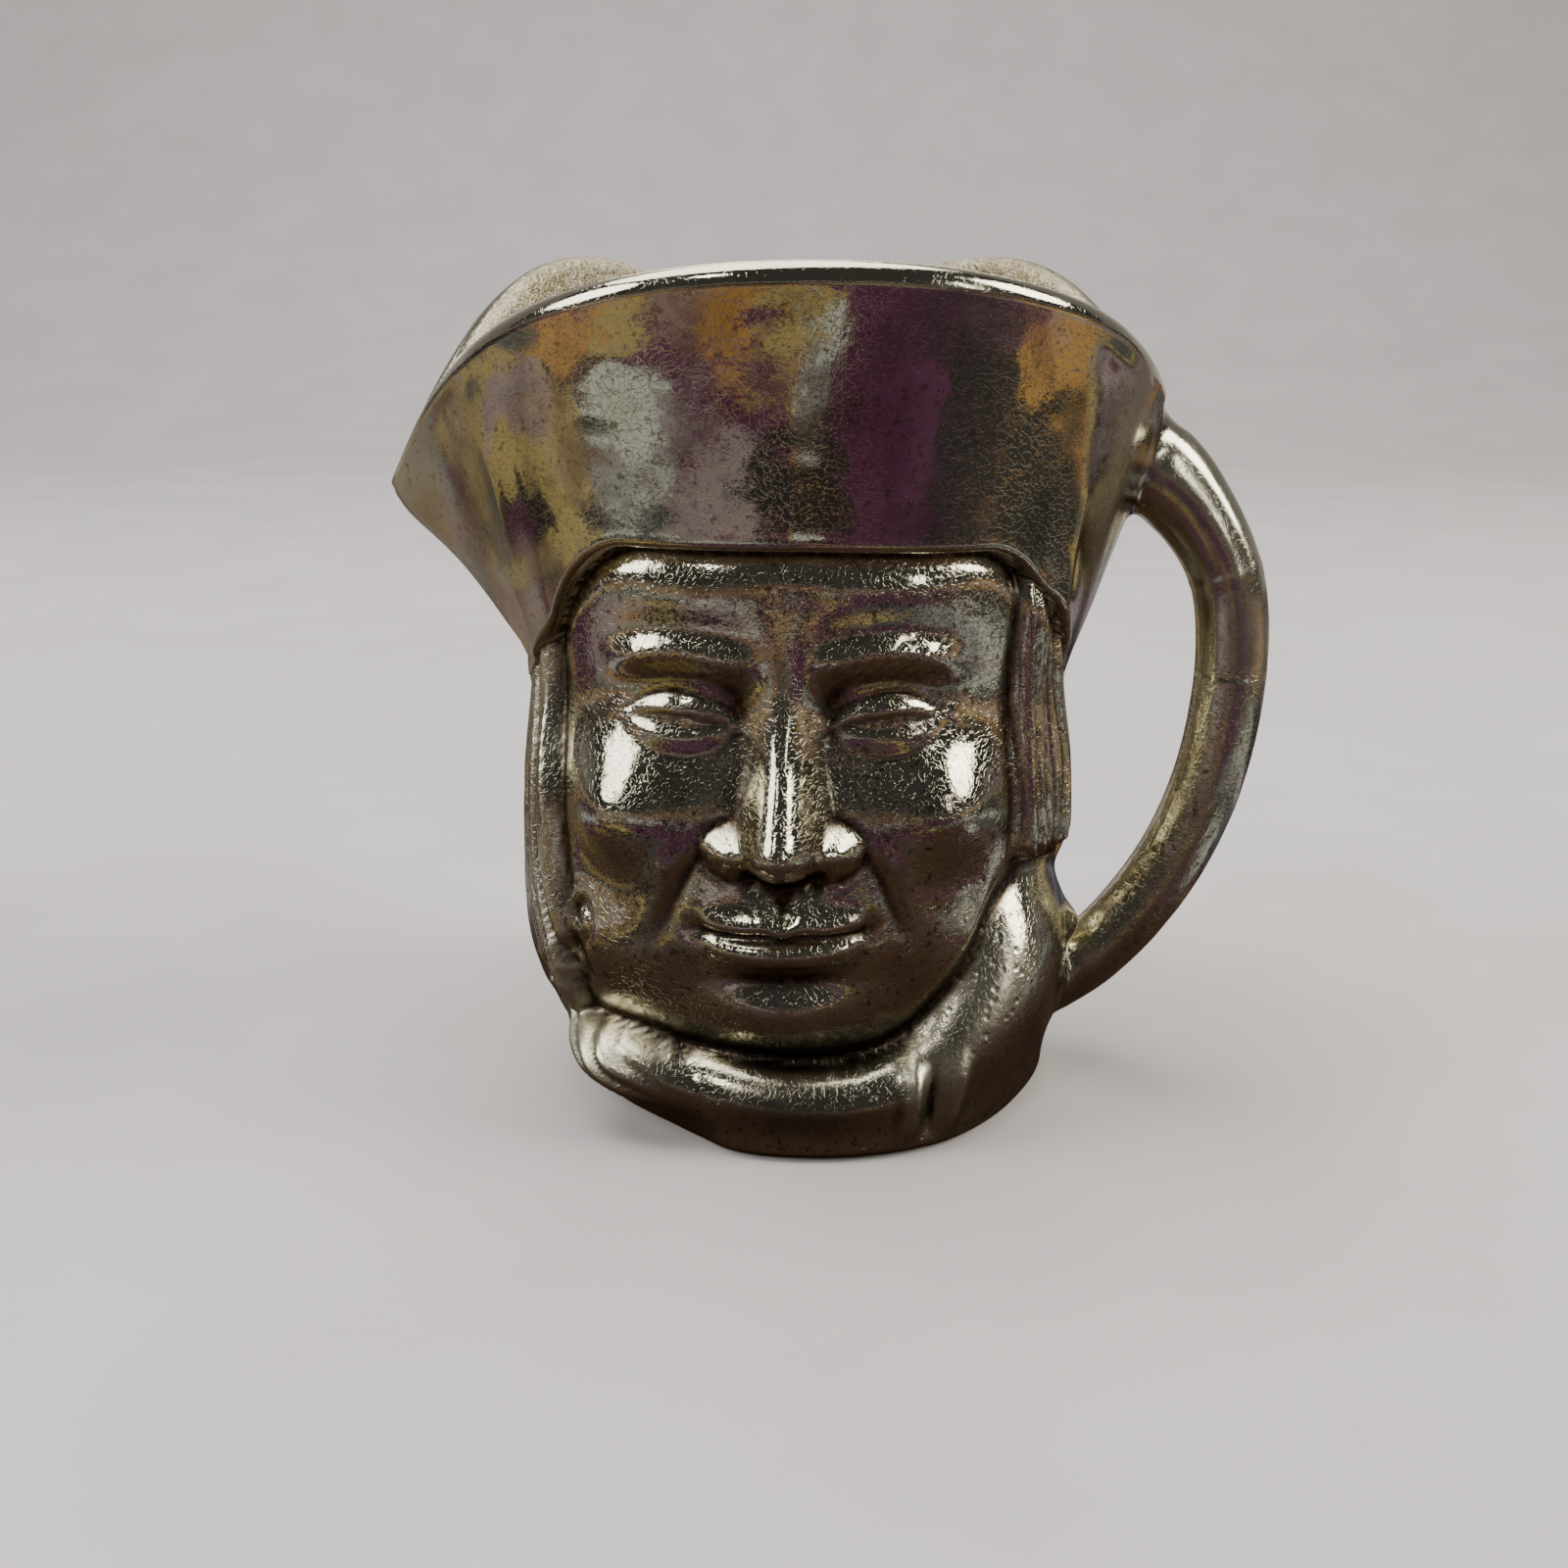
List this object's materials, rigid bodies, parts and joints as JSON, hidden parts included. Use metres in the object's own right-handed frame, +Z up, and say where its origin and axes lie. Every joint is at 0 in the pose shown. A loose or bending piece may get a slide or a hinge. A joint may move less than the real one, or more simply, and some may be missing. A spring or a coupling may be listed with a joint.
{
  "type": "toby jug",
  "caption": "Miniature cast brass toby jug: a man's head in a three-cornered hat whose left corner pours, with a round side handle.",
  "frame": {"origin": "middle of the flat underside, on the plane it stands on", "axes": "+Z up; -Y is the front of the hat; +X is the side of the handle; -X is the pouring corner"},
  "size_m": [0.0645, 0.0494, 0.0607],
  "materials": {
    "brass": "polished cast brass, tarnished dark in the hollows"
  },
  "bodies": {
    "root": {"jug": "brass"}
  },
  "joints": []
}
